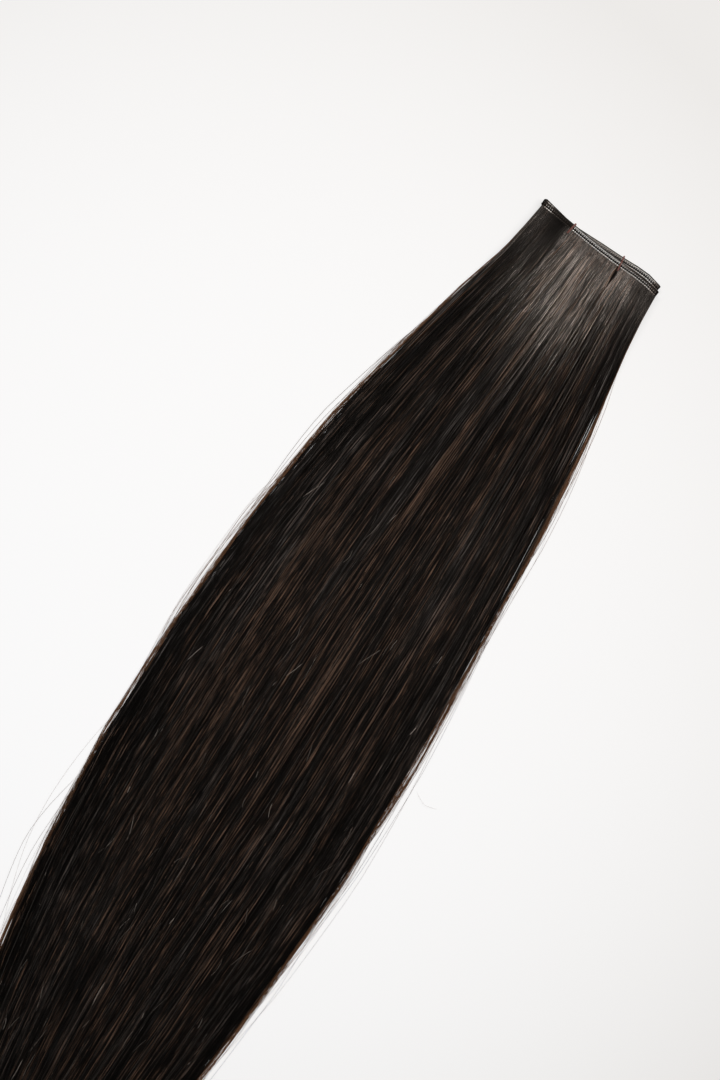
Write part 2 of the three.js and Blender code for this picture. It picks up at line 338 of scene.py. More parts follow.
# The surface, and how its glow fades towards the band's end and with the distance from a place: a painted
# pool of light, brightest round that place
FLOOR_HALF = 4.0
FLOOR_DROP = -0.05 * MM
GLOW_PLACE = (-90 * MM, 45 * MM, 0.0)
GLOW_NEAR = (1.12, 1.128, 1.14, 1.0)
GLOW_FAR = (0.82, 0.812, 0.797, 1.0)
GLOW_FADE_START = 0.121
GLOW_FADE_TO_BAND = 0.72
GLOW_FADE_AWAY = 13.0

# The room round the table, and how bright the camera sees it
ROOM_COLOUR = (1.0, 0.995, 0.985, 1.0)
ROOM_SEEN = 0.93

# The map laid over the strands and cores, and how much of it the strands take up
MAP_NAME = "OFBake"
MAP_STRIPS_TOP = 0.88


def smoothstep(low, high, value):
    """Rises smoothly from 0 at low to 1 at high."""
    share = np.clip((value - low) / (high - low), 0.0, 1.0)
    return share * share * (3.0 - 2.0 * share)


def filled(values):
    """Fills the gaps in a row of readings from the readings beside them."""
    known = ~np.isnan(values)
    places = np.arange(len(values))
    return np.interp(places, places[known], values[known])


def read(items, key):
    """A whole number of every face or corner of a mesh."""
    values = np.empty(len(items), dtype=np.int64)
    items.foreach_get(key, values)
    return values


def read_points(mesh, key="co"):
    """The places, or another vector, of a mesh's points in rows of three."""
    values = np.empty(len(mesh.vertices) * 3)
    mesh.vertices.foreach_get(key, values)
    return values.reshape(-1, 3)


def solid(node):
    """The mesh of a solid."""
    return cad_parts[node].data


def solid_tree(node):
    """A search tree over the faces of a solid."""
    mesh = solid(node)
    corners = [point.co for point in mesh.vertices]
    return BVHTree.FromPolygons(corners, [face.vertices for face in mesh.polygons])


class BandForm:
    """Where each layer of the folded band runs, read from its solid."""

    PLACES = 121
    REACH = 30 * MM

    def __init__(self):
        self.low, self.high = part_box(BAND)
        self.middle = (self.low.x + self.high.x) / 2
        self.tree = solid_tree(BAND)
        self.places = np.linspace(self.low.x, self.high.x, self.PLACES)
        pitch = (self.high.z - self.low.z - 2 * BAND_ROW_HALF) / (len(CURTAINS) - 1)
        self.heights = [self.high.z - BAND_ROW_HALF - pitch * layer for layer in range(len(CURTAINS))]
        self.outer = [self.edge(height, 1) for height in self.heights]
        self.inner = [self.edge(height, -1) for height in self.heights]

    def edge(self, height, side):
        """The band's edge along one layer: the outer one at side 1, the one the hair leaves at side -1."""
        found = np.full(self.PLACES, np.nan)
        for index, x in enumerate(self.places):
            start = Vector((x, self.high.y + side * self.REACH, height))
            hit = self.tree.ray_cast(start, Vector((0, -side, 0)))[0]
            if hit is not None:
                found[index] = hit.y
        return filled(found)

    def outer_at(self, layer, x):
        return np.interp(x, self.places, self.outer[layer])

    def inner_at(self, layer, x):
        return np.interp(x, self.places, self.inner[layer])

    def level(self, rows, key, x):
        """A table's value along the band, where the table measures from the band's middle."""
        return np.interp(x, column(rows, "along") + self.middle, column(rows, key))


class CurtainForm:
    """The outline and the two faces of a curtain's solid, read from the solid itself."""

    ROWS = 80
    COLUMNS = 121
    ROOT_ROW = 3.5 * MM
    BELOW_ROOT = 10 * MM
    ABOVE_TIPS = 38 * MM
    EDGE_INSET = 0.15 * MM
    CLEAR = 5 * MM

    def __init__(self, node):
        self.node = node
        self.low, self.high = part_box(node)
        self.points = read_points(solid(node))
        levels = np.linspace(self.high.y - self.BELOW_ROOT, self.low.y + self.ABOVE_TIPS, self.ROWS)
        left, right = self.cut(levels)
        top, bottom = self.read_faces(levels, left, right)
        roots = self.points[self.points[:, 1] > self.high.y - self.ROOT_ROW]
        reach = self.ABOVE_TIPS / (levels[0] - levels[1])
        self.levels = np.concatenate([[self.high.y], levels, [self.low.y]])
        self.left = self.extended(roots[:, 0].min(), left, reach)
        self.right = self.extended(roots[:, 0].max(), right, reach)
        wide = np.ones((1, self.COLUMNS))
        self.top = np.concatenate([wide * roots[:, 2].max(), top, top[-1:]])
        self.bottom = np.concatenate([wide * roots[:, 2].min(), bottom, bottom[-1:]])

    def extended(self, root, edge, reach):
        """An edge with its place at the root before it, and run on to the tips after it."""
        return np.concatenate([[root], edge, [edge[-1] + (edge[-1] - edge[-2]) * reach]])

    def cut(self, levels):
        """The solid's leftmost and rightmost place at each level."""
        faces = self.points[read(solid(self.node).loops, "vertex_index")].reshape(-1, 3, 3)
        starts = faces.reshape(-1, 3)
        ends = np.roll(faces, -1, axis=1).reshape(-1, 3)
        left = []
        right = []
        for level in levels:
            crossing = (starts[:, 1] - level) * (ends[:, 1] - level) < 0
            first = starts[crossing]
            second = ends[crossing]
            share = (level - first[:, 1]) / (second[:, 1] - first[:, 1])
            x = first[:, 0] + (second[:, 0] - first[:, 0]) * share
            left.append(x.min())
            right.append(x.max())
        return np.array(left), np.array(right)

    def read_faces(self, levels, left, right):
        """The heights of the upper and the lower face, in rows from root to tip."""
        tree = solid_tree(self.node)
        up = Vector((0, 0, 1))
        top = np.full((self.ROWS, self.COLUMNS), np.nan)
        bottom = np.full((self.ROWS, self.COLUMNS), np.nan)
        for row, y in enumerate(levels):
            across = np.linspace(left[row] + self.EDGE_INSET, right[row] - self.EDGE_INSET, self.COLUMNS)
            for place, x in enumerate(across):
                upper = tree.ray_cast(Vector((x, y, self.high.z + self.CLEAR)), -up)[0]
                lower = tree.ray_cast(Vector((x, y, self.low.z - self.CLEAR)), up)[0]
                if upper is not None and lower is not None:
                    top[row, place] = upper.z
                    bottom[row, place] = lower.z
            top[row] = filled(top[row])
            bottom[row] = filled(bottom[row])
        return top, bottom

    def edges_at(self, y):
        """The outline's left and right edge at any level."""
        rising = self.levels[::-1]
        return np.interp(y, rising, self.left[::-1]), np.interp(y, rising, self.right[::-1])

    def inset_edges(self, y, along):
        """The edges that the strands keep to, inside the outline."""
        left, right = self.edges_at(y)
        places = column(EDGE_INSETS, "along")
        left = left + np.interp(along, places, column(EDGE_INSETS, "left"))
        right = right - np.interp(along, places, column(EDGE_INSETS, "right"))
        return left, right

    def faces_at(self, y, share):
        """The lower and upper face at any level, a share of the way from the left edge to the right."""
        row = np.interp(-y, -self.levels, np.arange(len(self.levels)))
        place = np.clip(share, 0.0, 1.0) * (self.COLUMNS - 1)
        row_under = np.clip(np.floor(row).astype(int), 0, len(self.levels) - 2)
        place_under = np.clip(np.floor(place).astype(int), 0, self.COLUMNS - 2)
        down = row - row_under
        over = place - place_under
        found = []
        for face in (self.bottom, self.top):
            near, far = (
                face[line, place_under] * (1 - over) + face[line, place_under + 1] * over
                for line in (row_under, row_under + 1))
            found.append(near * (1 - down) + far * down)
        return found


class RootLie:
    """How the hair lies as it leaves the band: it swells past the roots and sinks beside the ties."""

    def __init__(self, band):
        self.band = band
        self.feet = {}
        for tie in (TIE_LEFT, TIE_RIGHT):
            low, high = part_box(tie)
            points = read_points(solid(tie))
            foot = points[points[:, 1] < low.y + (high.y - low.y) * TIE_FOOT]
            self.feet[tie] = foot[:, 0].mean()

    def lift(self, x, fall, own_rise=0.0):
        """How much higher the hair lies than its solid, at a fall below the band's edge."""
        rise = self.band.level(ROOT_SWELLS, "rise", x)
        swell = smoothstep(SWELL_FROM, SWELL_FULL, fall) - smoothstep(SWELL_EASES, SWELL_GONE, fall)
        lift = (rise + own_rise * SWELL_SPREAD) * swell
        for hollow in TIE_HOLLOWS:
            side = x - self.feet[hollow["tie"]] - hollow["shift"]
            width = np.where(side < 0, hollow["left"], hollow["right"])
            share = np.maximum(fall, 0.0) / hollow["peak"]
            lift = lift - hollow["depth"] * np.exp(-(side / width) ** 2) * share * np.exp(1.0 - share)
        return lift

    def shade(self, root_x, fall):
        """How much painted shade the roots get, in place of the shade of the band and of the hair beside
        them.
        """
        near = self.band.level(ROOT_SHADES, "near", root_x)
        far = self.band.level(ROOT_SHADES, "far", root_x)
        level = near + (far - near) * smoothstep(SHADE_NEAR, SHADE_FAR, fall)
        return level * (1.0 - smoothstep(SHADE_EASES, SHADE_GONE, fall))

    def push(self, x, fall):
        """How far the ties push the roots aside."""
        total = np.zeros_like(x)
        fade = np.exp(-(np.maximum(fall, 0.0) / TIE_PUSH_REACH) ** 2)
        for hollow in TIE_HOLLOWS:
            side = x - self.feet[hollow["tie"]]
            total += hollow["push"] * np.sign(side) * np.exp(-(side / TIE_PUSH_WIDTH) ** 2) * fade
        return total

    def spill(self, root_x, fall):
        """How far the hair right of a tie spills over the sunken hair left of it."""
        total = np.zeros_like(fall)
        fade = smoothstep(0.0, TIE_SPILL_FULL, fall) - smoothstep(TIE_SPILL_FULL, TIE_SPILL_GONE, fall)
        for hollow in TIE_HOLLOWS:
            side = root_x - self.feet[hollow["tie"]]
            share = np.where(side > 0, np.exp(-(side / TIE_SPILL_WIDTH) ** 2), 0.0)
            total -= hollow["spill"] * share * fade
        return total


class Term:
    """A socket that takes part in sums, so that node maths reads as Python."""

    def __init__(self, nodes, socket):
        self.nodes = nodes
        self.socket = socket

    def math(self, operation, first, second):
        return self.nodes.add("ShaderNodeMath", {"operation": operation}, {0: first, 1: second})

    def __add__(self, other):
        return self.math("ADD", self, other)

    def __radd__(self, other):
        return self.math("ADD", other, self)

    def __sub__(self, other):
        return self.math("SUBTRACT", self, other)

    def __rsub__(self, other):
        return self.math("SUBTRACT", other, self)

    def __mul__(self, other):
        return self.math("MULTIPLY", self, other)

    def __rmul__(self, other):
        return self.math("MULTIPLY", other, self)

    def __pow__(self, other):
        return self.math("POWER", self, other)


class Nodes:
    """A node tree under construction."""

    def __init__(self, tree):
        self.tree = tree

    def add(self, kind, settings=None, sockets=None, output=0):
        """Adds a node of a kind, with its settings and the values or links of its sockets."""
        node = self.tree.nodes.new(kind)
        for key, value in (settings or {}).items():
            if key == "stops":
                self.set_stops(node.color_ramp, value)
            else:
                setattr(node, key, value)
        for key, value in (sockets or {}).items():
            self.feed(node.inputs[key], value)
        return Term(self, node.outputs[output]) if node.outputs else node

    def feed(self, socket, value):
        """Links a term to a socket, or sets the socket's own value."""
        if isinstance(value, Term):
            self.tree.links.new(value.socket, socket)
        else:
            socket.default_value = value

    def set_stops(self, ramp, stops):
        while len(ramp.elements) < len(stops):
            ramp.elements.new(1.0)
        for element, (place, level) in zip(ramp.elements, stops):
            element.position = place
            element.color = (level, level, level, 1.0)


class Finish(Nodes):
    """A material built round one shader."""

    def __init__(self, name, **constants):
        self.material = bpy.data.materials.new(name)
        self.material.use_nodes = True
        super().__init__(self.material.node_tree)
        self.shader = self.tree.nodes["Principled BSDF"]
        for key, value in constants.items():
            self.shader.inputs[key.replace("_", " ")].default_value = value

    def set(self, socket, value):
        self.feed(self.shader.inputs[socket], value)

    def attribute(self, name):
        return self.add("ShaderNodeAttribute", {"attribute_name": name}, output=2)

    def place(self):
        return self.add("ShaderNodeTexCoord", output=3)

    def mix(self, share, first, second):
        settings = {"data_type": "RGBA", "clamp_factor": True}
        return self.add("ShaderNodeMix", settings, {0: share, 6: first, 7: second}, output=2)

    def noise(self, scale, detail=2.0, stretch=(1.0, 1.0, 1.0)):
        place = self.add("ShaderNodeMapping", None, {"Vector": self.place(), "Scale": stretch})
        sockets = {"Vector": place, "Scale": scale, "Detail": detail}
        return self.add("ShaderNodeTexNoise", None, sockets)

    def streaks(self, strand, along, pieces):
        """A level that comes and goes along each strand, in its own way."""
        place = self.add("ShaderNodeCombineXYZ", None, {"X": strand, "Y": along * pieces})
        sockets = {"Vector": place, "Scale": 1.0, "Detail": 2.0}
        return self.add("ShaderNodeTexNoise", {"noise_dimensions": "2D"}, sockets)

    def ramp(self, value, stops):
        return self.add("ShaderNodeValToRGB", {"stops": stops}, {0: value})

    def bump(self, height, strength, distance):
        sockets = {"Strength": strength, "Distance": distance, "Height": height}
        self.set("Normal", self.add("ShaderNodeBump", None, sockets))


class Maker(Nodes):
    """A Geometry Nodes tree with named inputs."""

    def __init__(self, name, **inputs):
        super().__init__(bpy.data.node_groups.new(name, "GeometryNodeTree"))
        self.sockets = {}
        new_socket = self.tree.interface.new_socket
        for key, kind in {"Shape": "Geometry", **inputs, "Finish": "Material"}.items():
            self.sockets[key] = new_socket(key, in_out="INPUT", socket_type=f"NodeSocket{kind}").identifier
        new_socket("Result", in_out="OUTPUT", socket_type="NodeSocketGeometry")
        entry = self.tree.nodes.new("NodeGroupInput")
        self.inputs = {key: Term(self, entry.outputs[index]) for index, key in enumerate(self.sockets)}

    def end(self, shape):
        """Ends the tree: what it made is realized and given its finish."""
        whole = self.add("GeometryNodeRealizeInstances", None, {"Geometry": shape})
        smooth = self.add("GeometryNodeSetShadeSmooth", None, {"Geometry": whole})
        sockets = {"Geometry": smooth, "Material": self.inputs["Finish"]}
        finished = self.add("GeometryNodeSetMaterial", None, sockets)
        self.add("NodeGroupOutput", None, {0: finished})
        return self

    def make(self, name, mesh, **values):
        """Runs the tree on a mesh and returns the plain mesh that comes out."""
        carrier = shown(name, mesh)
        modifier = carrier.modifiers.new(name, "NODES")
        modifier.node_group = self.tree
        for key, value in values.items():
            modifier[self.sockets[key]] = value
        depsgraph = bpy.context.evaluated_depsgraph_get()
        made = bpy.data.meshes.new_from_object(
            carrier.evaluated_get(depsgraph), preserve_all_data_layers=True, depsgraph=depsgraph)
        carrier.modifiers.remove(modifier)
        bpy.data.objects.remove(carrier)
        bpy.data.meshes.remove(mesh)
        made.name = name
        return made


def strand_maker():
    """Sweeps each chain of edges into a closed tube of its own thickness."""
    maker = Maker("Strand tubes", Sides="Int")
    curve = maker.add("GeometryNodeMeshToCurve", None, {"Mesh": maker.inputs["Shape"]})
    sockets = {"Resolution": maker.inputs["Sides"], "Radius": 1.0}
    outline = maker.add("GeometryNodeCurvePrimitiveCircle", None, sockets)
    width = maker.add("GeometryNodeInputNamedAttribute", {"data_type": "FLOAT"}, {"Name": "thickness"})
    sockets = {"Curve": curve, "Profile Curve": outline, "Scale": width * 0.5, "Fill Caps": True}
    return maker.end(maker.add("GeometryNodeCurveToMesh", None, sockets))


def stitch_maker():
    """Sets a rounded stitch at every point of a row, turned along the row, with a shade of its own."""
    sizes = dict.fromkeys(("Pitch", "Length", "Width", "Height", "Slant"), "Float")
    maker = Maker("Sewn row", **sizes, Seed="Int")
    pitch, length, width, height, slant, seed = (maker.inputs[key] for key in (*sizes, "Seed"))
    curve = maker.add("GeometryNodeMeshToCurve", None, {"Mesh": maker.inputs["Shape"]})
    spaced = maker.add("GeometryNodeResampleCurve", {"mode": "LENGTH"}, {"Curve": curve, "Length": pitch})
    tangent = maker.add("GeometryNodeInputTangent")
    turn = maker.add("FunctionNodeAlignRotationToVector", {"axis": "X"}, {"Vector": tangent})
    aslant = maker.add("ShaderNodeCombineXYZ", None, {"Z": slant})
    slanted = maker.add("FunctionNodeRotateRotation", {"rotation_space": "LOCAL"}, {0: turn, 1: aslant})
    bead = maker.add("GeometryNodeMeshUVSphere", None, {"Segments": 8, "Rings": 5, "Radius": 0.5})
    random = {"data_type": "FLOAT"}
    varied = maker.add("FunctionNodeRandomValue", random, {2: 0.85, 3: 1.12, "Seed": seed}, output=1)
    size = maker.add("ShaderNodeCombineXYZ", None, {0: length * varied, 1: width, 2: height})
    placing = {"Points": spaced, "Instance": bead, "Rotation": slanted, "Scale": size}
    placed = maker.add("GeometryNodeInstanceOnPoints", None, placing)
    shade = maker.add("FunctionNodeRandomValue", random, {2: 0.0, 3: 1.0, "Seed": seed + 1}, output=1)
    naming = {"Geometry": placed, "Name": "tint", "Value": shade}
    storing = {"data_type": "FLOAT", "domain": "INSTANCE"}
    return maker.end(maker.add("GeometryNodeStoreNamedAttribute", storing, naming))


def chain_mesh(name, points, closed=False, **attributes):
    """Chains of edges through rows of points, with a value of each attribute at each point."""
    count, length = points.shape[:2]
    mesh = bpy.data.meshes.new(name)
    mesh.vertices.add(count * length)
    mesh.vertices.foreach_set("co", points.astype(np.float32).ravel())
    places = np.arange(count * length, dtype=np.int32).reshape(count, length)
    following = np.roll(places, -1, axis=1)
    last = length if closed else length - 1
    edges = np.stack([places[:, :last], following[:, :last]], axis=-1)
    mesh.edges.add(count * last)
    mesh.edges.foreach_set("vertices", edges.ravel())
    for key, values in attributes.items():
        layer = mesh.attributes.new(key, "FLOAT", "POINT")
        values = np.broadcast_to(values, (count, length))
        layer.data.foreach_set("value", values.astype(np.float32).ravel())
    return mesh


def set_map(mesh, u, v):
    """Gives a mesh its map, from the place of each corner of its faces."""
    layer = mesh.uv_layers.new(name=MAP_NAME)
    layer.data.foreach_set("uv", np.stack([u, v], axis=-1).astype(np.float32).ravel())


def map_strips(mesh, rings, sides):
    """Maps each strand into a cell of its own, root to tip, with its sides over each other."""
    strands = len(mesh.vertices) // (rings * sides)
    columns = math.ceil(math.sqrt(strands))
    rows = math.ceil(strands / columns)
    starts = read(mesh.polygons, "loop_start")
    totals = read(mesh.polygons, "loop_total")
    strand, inside = np.divmod(read(mesh.loops, "vertex_index"), rings * sides)
    ring, side = np.divmod(inside, sides)
    face = np.repeat(np.arange(len(totals)), totals)
    lowest = np.minimum.reduceat(side, starts)[face]
    highest = np.maximum.reduceat(side, starts)[face]
    seam = (highest - lowest) == sides - 1
    over = np.where(seam, side == lowest, side == highest)
    cap = (np.minimum.reduceat(ring, starts) == np.maximum.reduceat(ring, starts))[face]
    over = np.where(cap, side / (sides - 1), over)
    down = 0.06 + 0.88 * ring / (rings - 1) + np.where(cap & (side == 1), 0.04, 0.0)
    u = (strand % columns + 0.1 + 0.8 * over) / columns
    set_map(mesh, u, (strand // columns + down) / rows * MAP_STRIPS_TOP)


def map_core(mesh):
    """Maps a core from above into the strip of the map that the strands leave free."""
    for layer in list(mesh.uv_layers):
        mesh.uv_layers.remove(layer)
    points = read_points(mesh)
    low, high = points.min(axis=0), points.max(axis=0)
    share = ((points - low) / (high - low))[read(mesh.loops, "vertex_index")]
    u = 0.02 + 0.9 * share[:, 1] + 0.05 * share[:, 2]
    v = MAP_STRIPS_TOP + 0.01 + (0.98 - MAP_STRIPS_TOP) * (0.9 * share[:, 0] + 0.1 * share[:, 2])
    set_map(mesh, u, v)


def shown(name, data):
    """A new object in the scene."""
    made = bpy.data.objects.new(name, data)
    bpy.context.scene.collection.objects.link(made)
    return made


def link_piece(name, mesh, slot, *nodes):
    """Shows a mesh as a finished piece that stands for some of the solids."""
    piece = shown(name, mesh)
    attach(piece, BODY)
    if nodes:
        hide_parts(*nodes)


def joined(first, second):
    """One mesh out of two."""
    objects = [shown(mesh.name, mesh) for mesh in (first, second)]
    with bpy.context.temp_override(active_object=objects[0], selected_editable_objects=objects):
        bpy.ops.object.join()
    mesh = objects[0].data
    bpy.data.objects.remove(objects[0])
    return mesh


def weld(mesh):
    """Merges the loose triangles of a solid's copy."""
    shape = bmesh.new()
    shape.from_mesh(mesh)
    bmesh.ops.remove_doubles(shape, verts=shape.verts, dist=0.001 * MM)
    shape.to_mesh(mesh)
    shape.free()


def whole(name, description, default):
    """A whole number that a user may change."""
    return IntProperty(name=name, description=description, default=default)


def number(name, description, default, **kind):
    """A number that a user may change, of a unit or subtype where one fits."""
    return FloatProperty(name=name, description=description, default=default, **kind)


def length(name, description, default):
    """A length that a user may change."""
    return number(name, description, default, unit="LENGTH", precision=5)


def colour(name, description, *default):
    """A colour that a user may change."""
    return FloatVectorProperty(
        name=name, description=description, subtype="COLOR", size=4, default=(*default, 1.0))


class HairSettings(bpy.types.PropertyGroup):
    """Sizes and colours of the hair."""

    strand: length("Strand", "Thickness of a strand, a few hairs that cling together", 0.29 * MM)
    loose_strand: length("Loose hair", "Thickness of a single loose hair", 0.17 * MM)
    top_count: whole("Top strands", "Strands in each half of the top curtain", 2150)
    lower_count: whole("Lower strands", "Strands in each lower curtain", 1500)
    loose_count: whole("Loose hairs", "Single hairs that lie across the top curtain", 380)
    stray_count: whole("Stray hairs", "Single hairs drawn by chance along the edges", 220)
    dark: colour("Dark", "Colour of most strands", 0.0022, 0.0018, 0.0017)
    grey: colour("Grey", "Colour of the lighter strands that are cool", 0.16, 0.155, 0.158)
    brown: colour("Brown", "Colour of the lighter strands that are warm", 0.245, 0.158, 0.114)
    # A painted glow: warm brown painted where the thin edge of the hair would let the light through
    painted_glow: colour("Thin edge", "Colour where the hair lets light through", 0.3, 0.165, 0.095)
    # Painted highlight: the short loose hairs are painted pale in place of the glints they catch
    pale: colour("Pale hair", "Colour of the short hairs that catch the light", 0.88, 0.85, 0.82)
    roughness: number("Roughness", "Roughness of a strand's sheen", 0.19, subtype="FACTOR")


class BandSettings(bpy.types.PropertyGroup):
    """Sizes and colours of the sewn band."""

    pitch: length("Stitch pitch", "Distance from one stitch to the next", 1.25 * MM)
    thread: length("Thread", "Thickness of the sewing thread", 0.34 * MM)
    # The thread's colour follows its painted light and shade: dark in painted shade, dull between, clear
    # where painted lit
    clear: colour("Clear thread", "Colour of the glossy thread", 0.82, 0.93, 1.0)
    dull: colour("Dull thread", "Colour of thread with hair ends showing between", 0.4, 0.38, 0.365)
    dark: colour("Dark thread", "Colour of the dark thread", 0.008, 0.0075, 0.007)
    ground: colour("Band", "Colour of the hair ends sewn into the band", 0.006, 0.0055, 0.005)


class TieSettings(bpy.types.PropertyGroup):
    """Sizes and colours of the thread ties."""

    turns: whole("Turns", "Turns of the twist round one tie", 14)
    colour: colour("Thread", "Colour of the tie thread", 0.19, 0.078, 0.07)
    ply: number("Ply", "Thickness of a ply, as a share of the tie's thread", 0.95)
    winding: number("Winding", "How far a ply winds off the middle, as a share of the tie's thread", 0.46)


class StageSettings(bpy.types.PropertyGroup):
    """The surface and the light."""

    floor: colour("Floor", "Colour of the surface", 0.395, 0.435, 0.476)
    glow: number("Glow", "How much the surface shines by itself, as a lit table does", 0.652)
    key: number("Key light", "Power of the long light beyond the band", 22.4, unit="POWER")
    light: colour("Light", "Colour of the light", 1.0, 0.86, 0.755)
    fill: number("Fill", "Brightness of the room round the table", 0.06)


def hair_finish(settings):
    """Hair that runs from off-black to grey and brown from strand to strand and along each strand."""
    finish = Finish(
        HAIR, Roughness=0.35, Specular_IOR_Level=0.25, Coat_IOR=2.1, Coat_Roughness=settings.roughness)
    varying = {key: finish.attribute(key) for key in ("own", "seat", "along", "tint")}
    along = varying["along"]
    noise = {}
    for row in HAIR_NOISE:
        strand = varying[row["of"]] * row["across"] + row["start"]
        level = finish.streaks(strand, along, row["down"])
        noise[row["name"]] = (level - row["middle"]) * row["strength"]
    uneven = (varying["tint"] - TINT_MIDDLE) * TINT_STRENGTH
    # Painted shade of the roots: darker light strands and less coat where the shade attribute is high
    clear = 1.0 - finish.attribute("shade")
    aside = varying["seat"] - 0.5
    outer = aside * aside * 4.0
    light = noise["light"] + uneven + noise["patches"] - along * TIPS_DARKER - outer * EDGES_DARKER
    warmth = noise["warmth"] + uneven * WARMTH_BY_TINT - outer * EDGES_COOLER
    lighter = finish.mix(finish.ramp(warmth, WARM_STOPS), settings.grey, settings.brown)
    body = finish.mix(finish.ramp(light, LIGHT_STOPS) * clear, settings.dark, lighter)
    # Painted highlight: pale colour on the loose hairs stands in for their glints
    lit = finish.mix(finish.attribute("pale"), body, settings.pale)
    # Painted glow on the thin edges, warm brown where light would shine through the hair
    finish.set("Base Color", finish.mix(finish.attribute("edge"), lit, settings.painted_glow))
    sheen = noise["glints"] + uneven + noise["patches"] * SHEEN_BY_PATCHES
    sheen = sheen - outer * EDGES_DULLER - SHEEN_LESS
    finish.set("Coat Weight", finish.ramp(sheen, SHEEN_STOPS) * clear)
    return finish.material


class Comb:
    """Combs hair: the finish and the tubes that strands get, and the band and roots that they follow."""

    def __init__(self, settings):
        self.settings = settings
        self.material = bpy.data.materials.get(HAIR) or hair_finish(settings)
        self.maker = strand_maker()
        self.band = BandForm()
        self.lie = RootLie(self.band)

    def pieces(self, rows, count, steps):
        """Combs pieces of the curtains, each of so many strands in so many steps."""
        for row in rows:
            rng = np.random.default_rng(row["seed"])
            form = CurtainForm(CURTAINS[row["layer"]])
            levels = (row["low"], row["high"])
            course = self.course(form, row["layer"], count, steps, rng, levels)
            mesh = self.strands(row["name"], course, self.settings.strand, rng)
            if row["core"]:
                mesh = joined(mesh, self.core(form, row["layer"]))
            link_piece(row["name"], mesh, "hair", form.node)

    def strands(self, name, course, usual, rng):
        """A mesh of strands along their courses: they start slim, fill out and taper to their tips."""
        along = course["along"]
        thickness = usual * rng.uniform(*THICKNESS_SHARES, (len(along), 1))
        thickness = thickness * (1.0 - ROOT_SLIMMER + ROOT_SLIMMER * smoothstep(0.0, 0.05, along))
        thickness = thickness * (1.0 - TIP_SLIMMER * smoothstep(0.75, 1.0, along))
        chains = chain_mesh(name, thickness=thickness, **course)
        mesh = self.maker.make(name, chains, Sides=STRAND_SIDES, Finish=self.material)
        map_strips(mesh, course["points"].shape[1], STRAND_SIDES)
        return mesh

    def course(self, form, layer, count, steps, rng, levels):
        """Centre lines of a curtain's strands, root to tip, with the values that their finish reads."""
        band, lie = self.band, self.lie
        seat = (np.arange(count) + rng.random(count)) / count
        lock = np.minimum((seat * LOCKS).astype(int), LOCKS - 1)
        lock_seat = (np.arange(LOCKS) + 0.5) / LOCKS
        length = 1.0 - SHORTER_BY * rng.random(count) ** 2.5
        share = np.linspace(0, 1, steps + 1)[None, :]
        jitter = rng.uniform(-STEP_JITTER, STEP_JITTER, (count, steps + 1)) / steps
        jitter = jitter * smoothstep(0.1, 0.3, share)
        jitter[:, -1] = 0.0
        along = np.clip(share + jitter, 0, 1) ** STEP_CROWDING * length[:, None]

        single = rng.random((count, 1)) < SINGLE_SHARE
        gather = np.where(single, 0.0, GATHER) * smoothstep(0.0, 0.15, along)
        seat_along = seat[:, None] + (lock_seat[lock] - seat)[:, None] * gather
        root_x = form.left[0] + (form.right[0] - form.left[0]) * seat
        root_y = band.inner_at(layer, root_x) + ROOT_OVERLAP
        y = root_y[:, None] + (form.low.y - root_y)[:, None] * along
        left, right = form.inset_edges(y, along)
        x = left + (right - left) * seat_along

        free = smoothstep(0.02, 0.2, along)
        border = smoothstep(0.965, 1.0, np.abs(2 * seat - 1))[:, None]
        owners = {"bundle": lock // BUNDLE, "lock": lock, "strand": np.arange(count)}
        for row in WAVES:
            owner = owners[row["of"]]
            amount = rng.normal(0.0, row["spread"], count)[owner][:, None]
            amount = amount * (1.0 + row["at_border"] * border)
            wave = rng.uniform(row["slow"], row["quick"], count)[owner][:, None]
            phase = rng.uniform(0, math.tau, count)[owner][:, None]
            x += amount * free * np.sin(math.tau * wave * along + phase)
        x = np.clip(x, left - EDGE_FUZZ, right + EDGE_FUZZ)
        fall = band.inner_at(layer, x) - y
        x += lie.push(x, fall) * TIE_PUSH_SHARES[layer]

        outline_left, outline_right = form.edges_at(y)
        bottom, top = form.faces_at(y, (x - outline_left) / (outline_right - outline_left))
        level = 1.0 + (rng.uniform(*levels, count)[:, None] - 1.0) * smoothstep(0.0, 0.06, along)
        z = bottom + (top - bottom) * level
        bob = rng.normal(0.0, LOCK_BOB, LOCKS)[lock][:, None]
        bobs = rng.uniform(*LOCK_BOBS, LOCKS)[lock][:, None]
        z += bob * free * np.sin(math.tau * (bobs * along + lock[:, None] * 0.37))
        own_rise = SWELL_OF_LOCK * rng.normal(0.0, 1.0, LOCKS)[lock]
        own_rise = own_rise + SWELL_OF_STRAND * rng.normal(0.0, 1.0, count)
        own_place = x + rng.normal(0.0, LOCK_SHIFT, LOCKS)[lock][:, None]
        z += lie.lift(own_place, fall, own_rise[:, None]) * CURTAIN_SHARES[layer]
        z = np.maximum(z, FLOOR_CLEAR) + single * free * SINGLE_RISE
        z[:, 0] = form.top[0].max() - rng.uniform(0.05, 0.3, count) * MM
        x += lie.spill(root_x[:, None], fall) * TIE_PUSH_SHARES[layer]

        # Strands at the thin edge get a painted glow, warm brown in place of light coming through the hair
        rim = np.abs(2 * (x - left) / (right - left) - 1)
        thin_from = THIN_FROM - THIN_SOONER * (1.0 - smoothstep(0.1, 0.3, along))
        painted_glow = smoothstep(thin_from, thin_from + THIN_WIDTH, rim)
        tint = TINT_OF_STRAND * rng.random((count, 1))
        tint = tint + TINT_OF_LOCK * rng.random(LOCKS)[lock][:, None] ** 2
        tint += TINT_OF_SECOND * (lock % 2)[:, None]
        own = rng.uniform(0.0, OWN_RANGE, LOCKS)[lock][:, None] + rng.normal(0.0, OWN_SPREAD, (count, 1))
